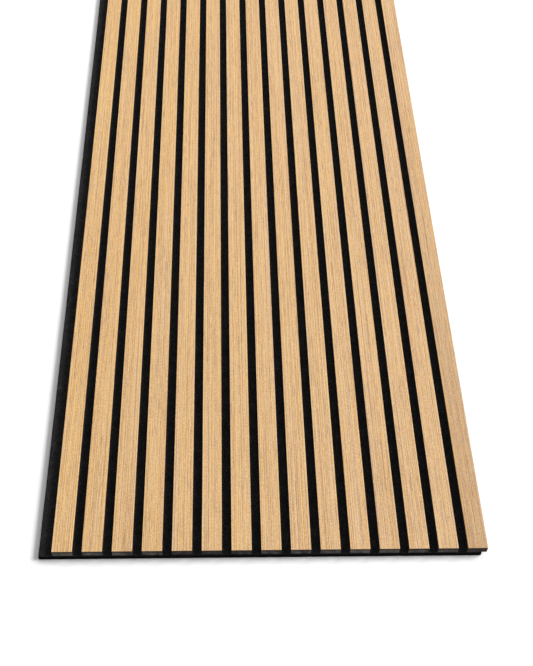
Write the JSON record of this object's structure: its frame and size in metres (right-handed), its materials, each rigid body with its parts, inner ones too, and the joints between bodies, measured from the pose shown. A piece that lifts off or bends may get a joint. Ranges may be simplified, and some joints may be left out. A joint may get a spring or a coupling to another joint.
{
  "type": "acoustic slat wall panel",
  "caption": "Long flat acoustic wall panel: parallel oak-faced slats with open gaps between them, held on a black felt board that laps out along one side.",
  "frame": {"origin": "middle of the underside of the panel's bounding box: the back of the felt, halfway along the slats", "axes": "+Y along the slats, away from the end that the picture shows; +Z out of the oak face that a room sees; +X across the slats, away from the felt lap"},
  "size_m": [0.605, 2.4, 0.021],
  "materials": {
    "felt": "black pressed polyester felt",
    "fibreboard": "black-dyed fibreboard, sawn",
    "oak": "light oak veneer, matt lacquer",
    "staple_wire": "galvanised flat wire"
  },
  "bodies": {
    "root": {"felt_backing": "felt", "slat_core_01": "fibreboard", "slat_core_02": "fibreboard", "slat_core_03": "fibreboard", "slat_core_04": "fibreboard", "slat_core_05": "fibreboard", "slat_core_06": "fibreboard", "slat_core_07": "fibreboard", "slat_core_08": "fibreboard", "slat_core_09": "fibreboard", "slat_core_10": "fibreboard", "slat_core_11": "fibreboard", "slat_core_12": "fibreboard", "slat_core_13": "fibreboard", "slat_core_14": "fibreboard", "slat_core_15": "fibreboard", "oak_veneer_01": "oak", "oak_veneer_02": "oak", "oak_veneer_03": "oak", "oak_veneer_04": "oak", "oak_veneer_05": "oak", "oak_veneer_06": "oak", "oak_veneer_07": "oak", "oak_veneer_08": "oak", "oak_veneer_09": "oak", "oak_veneer_10": "oak", "oak_veneer_11": "oak", "oak_veneer_12": "oak", "oak_veneer_13": "oak", "oak_veneer_14": "oak", "oak_veneer_15": "oak", "staples": "staple_wire"}
  },
  "joints": []
}
